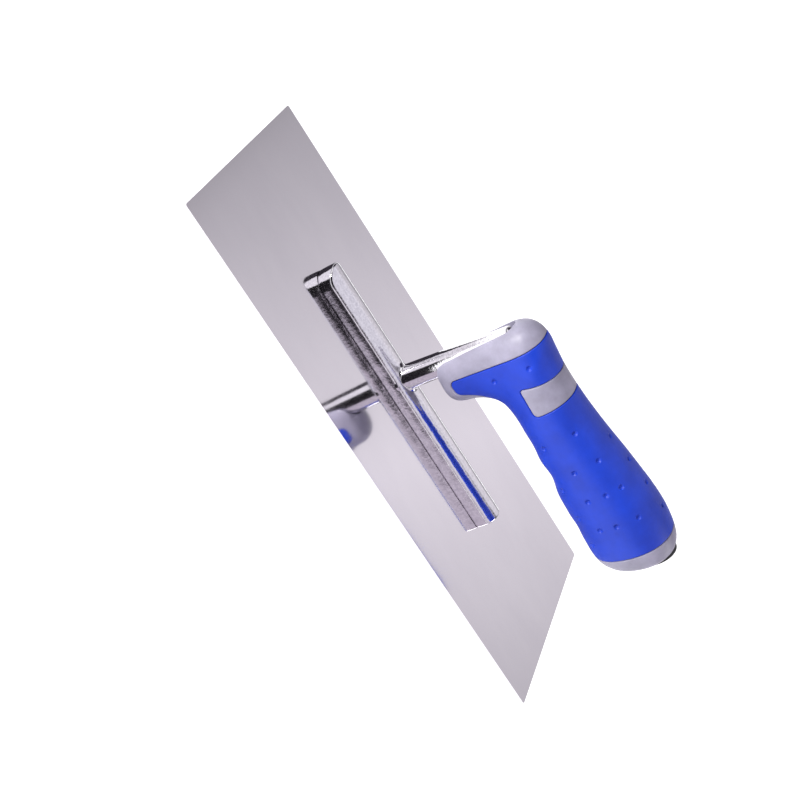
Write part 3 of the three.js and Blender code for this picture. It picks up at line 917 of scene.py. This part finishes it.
def make_butt_cap():
    """The grey end of the handle, a closed shell with a rounded edge at the grip."""
    work = handle_mesh(BODY_SPACING)
    split_at_levels(work, butt_field, edge_levels())
    points, normals = mesh_arrays(work)
    field = butt_field(points, normals) - SEAM
    kept = faces_where(work, field)
    cap = make_object("butt_shell", *shell(work, kept, rounding(field, EDGE_ROUND), SKIN))
    work.free()
    smooth_shade(cap, sharp_angle=60)
    finish_piece(cap, GREY_PLASTIC, "butt_cap")


def slot_cutter(turn_steps=33, wall_rows=12, dome_rows=9):
    """The space round the post: half-round behind it, open in front, closed by a dome above."""
    turns = np.linspace(-math.pi / 2, math.pi / 2, turn_steps)
    dome = SLOT_TOP - post_at(SLOT_TOP)[1] - SLOT_GAP
    levels = [(z, 1.0) for z in np.linspace(POST_FOOT[1], dome, wall_rows)]
    for angle in np.linspace(0, math.pi / 2, dome_rows)[1:-1]:
        levels.append((dome + (SLOT_TOP - dome) * math.sin(angle), math.cos(angle)))
    rings = []
    for z, share in levels:
        x, radius = post_at(z)
        radius = (radius + SLOT_GAP) * share
        ring = [(x + radius * math.cos(a), radius * math.sin(a), z) for a in turns]
        rings.append(ring + [(-RAIL_HIGH[0], radius, z), (-RAIL_HIGH[0], -radius, z)])
    cutter = make_object("slot_cutter", *lofted(rings))
    merge_points(cutter)
    return cutter


def make_core():
    """The grey moulding: at the surface round the front and in the window, sunk under the grip."""
    work = handle_mesh(BODY_SPACING)
    split_at_levels(work, core_field, [SEAM - SEAM_WALL] + edge_levels())
    split_at_levels(work, slot_field, LIP_LEVELS)
    points, normals = mesh_arrays(work)
    field = core_field(points, normals) - SEAM
    depth = np.where(field < -SEAM_WALL / 2, RECESS, rounding(field, EDGE_ROUND))
    depth = np.maximum(depth, rounding(slot_field(points, normals), LIP_ROUND))
    moved = points - normals * depth[:, None]
    faces = [tuple(v.index for v in face.verts) for face in work.faces]
    core = make_object("core_moulding", moved, faces)
    work.free()
    cut_away(core, slot_cutter())
    smooth_shade(core, sharp_angle=50)
    finish_piece(core, GREY_PLASTIC, "handle_core")


def make_end_plug(sides=96, rim_rows=8):
    """A low rubber button on the butt, with a rounded rim and a shallow dish."""
    outer_x, outer_z, inner_x, inner_z = STATIONS[-1][:4]
    across = np.array([outer_x - inner_x, 0, outer_z - inner_z])
    across /= np.linalg.norm(across)
    axis = np.cross([0, 1, 0], across)
    middle = np.array([(outer_x + inner_x) / 2, 0, (outer_z + inner_z) / 2]) + across * PLUG["rise"]
    radius, top, rim = PLUG["radius"], PLUG["top"], PLUG["rim"]
    profile = [(-PLUG["sunk"], radius - rim)]
    for angle in np.linspace(0, math.pi / 2, rim_rows):
        profile.append((top - rim + rim * math.sin(angle), radius - rim + rim * math.cos(angle)))
    profile += [(top + over, out) for over, out in PLUG_FACE]
    spokes = [across * math.cos(a) + np.array([0, math.sin(a), 0]) for a in full_turn(sides)]
    rings = [[middle + axis * height + out * spoke for spoke in spokes] for height, out in profile]
    plug = make_object("plug_button", *lofted(rings))
    merge_points(plug)
    smooth_shade(plug, sharp_angle=40)
    finish_piece(plug, BLACK_RUBBER, "end_plug")


# ---------------------------------------------------------------- light, floor and camera
def towards(azimuth, elevation):
    """Direction by azimuth from -Y towards +X and elevation, both in degrees."""
    turn, tilt = math.radians(azimuth), math.radians(elevation)
    return Vector((math.sin(turn) * math.cos(tilt), -math.cos(turn) * math.cos(tilt), math.sin(tilt)))


def sky_panel(tree, direction, base, azimuth, elevation, half_width, half_height, blur, color):
    """Lays a soft-edged rectangle of light or shade, by its middle and half sizes in degrees."""
    centre = towards(azimuth, elevation)
    right = towards(azimuth + 90, 0)
    up = centre.cross(right)

    def dot(axis):
        node = tree.nodes.new("ShaderNodeVectorMath")
        node.operation = "DOT_PRODUCT"
        node.inputs[1].default_value = axis
        tree.links.new(direction, node.inputs[0])
        return node.outputs["Value"]

    def math_node(operation, *values):
        node = tree.nodes.new("ShaderNodeMath")
        node.operation = operation
        for value, socket in zip(values, node.inputs):
            tree.links.new(value, socket)
        return node.outputs["Value"]

    facing = dot(centre)
    in_front = 0.05
    mask = remap(tree, facing, 0, 1, 0, in_front)
    for axis, half in ((right, half_width), (up, half_height)):
        aside = math_node("ABSOLUTE", math_node("DIVIDE", dot(axis), facing))
        edge = math.tan(math.radians(half))
        soft = math.tan(math.radians(blur))
        inside = remap(tree, aside, 0, 1, edge + soft / 2, edge - soft / 2)
        mask = math_node("MULTIPLY", mask, inside)
    return blend_colors(tree, mask, base, color)


def make_sky():
    """Surroundings for the polished steel: plain walls, soft panels and the foot of the sweep."""
    world = bpy.data.worlds.new("studio")
    bpy.context.scene.world = world
    world.use_nodes = True
    tree = world.node_tree
    direction = tree.nodes.new("ShaderNodeTexCoord").outputs["Generated"]
    color = SKY_COLOR
    for panel in SKY_PANELS:
        color = sky_panel(tree, direction, color, *panel)
    height = tree.nodes.new("ShaderNodeSeparateXYZ")
    tree.links.new(direction, height.inputs["Vector"])
    low, high = (math.sin(math.radians(angle)) for angle in SWEEP_TOP)
    sweep = remap(tree, height.outputs["Z"], 0, 1, high, low)
    color = blend_colors(tree, sweep, color, SWEEP_COLOR)
    background = tree.nodes["Background"]
    tree.links.new(color, background.inputs["Color"])


def make_floor():
    """A pale table top that glows a little, as a lit sweep does."""
    rim = level_circle(0, FLOOR_RADIUS, -FLOOR_DROP, 64)
    floor = make_object("floor", rim, [tuple(range(len(rim)))])
    material, tree, shader, place = new_material("floor_paper")
    fibres = noise_value(tree, place, scale=300, detail=3)
    tint = blend_colors(tree, remap(tree, fibres, 0, 1), (0.50, 0.50, 0.50), (0.52, 0.52, 0.52))
    tree.links.new(tint, shader.inputs["Base Color"])
    shader.inputs["Roughness"].default_value = 0.9
    shader.inputs["Emission Color"].default_value = (1, 1, 1, 1)
    shader.inputs["Emission Strength"].default_value = FLOOR_GLOW
    floor.data.materials.append(material)


def make_lights():
    """Round area lamps turned to the middle of the frame."""
    for name, place, size, power, color in LIGHTS:
        data = bpy.data.lights.new(name, "AREA")
        data.shape = "DISK"
        data.size = size
        data.energy = power
        data.color = color
        light = bpy.data.objects.new(name, data)
        bpy.context.scene.collection.objects.link(light)
        light.location = place
        light.rotation_mode = "QUATERNION"
        light.rotation_quaternion = Vector(place).to_track_quat("Z", "Y")


def make_camera():
    """Looks at the blade's middle from the front left, rolled so that the blade climbs leftwards."""
    back = towards(CAMERA["azimuth"], CAMERA["elevation"])
    data = bpy.data.cameras.new("camera")
    data.lens = CAMERA["lens"]
    data.clip_start = 0.01
    camera = bpy.data.objects.new("camera", data)
    bpy.context.scene.collection.objects.link(camera)
    level = back.to_track_quat("Z", "Y").to_matrix()
    turned = level @ Matrix.Rotation(math.radians(CAMERA["roll"]), 3, "Z")
    place = Vector(CAMERA_AIM) + back * CAMERA["distance"]
    camera.matrix_world = Matrix.Translation(place) @ turned.to_4x4()
    bpy.context.scene.camera = camera


make_camera()
make_sky()
make_lights()
make_floor()
make_blade()
make_rivets()
make_rail()
make_shank()
make_core()
make_grip()
make_butt_cap()
make_end_plug()
for hidden in ("tang_washer", "tang_nut"):
    finish_cad_node(hidden, ZINC_STEEL)

bpy.context.scene.view_settings.view_transform = "Standard"
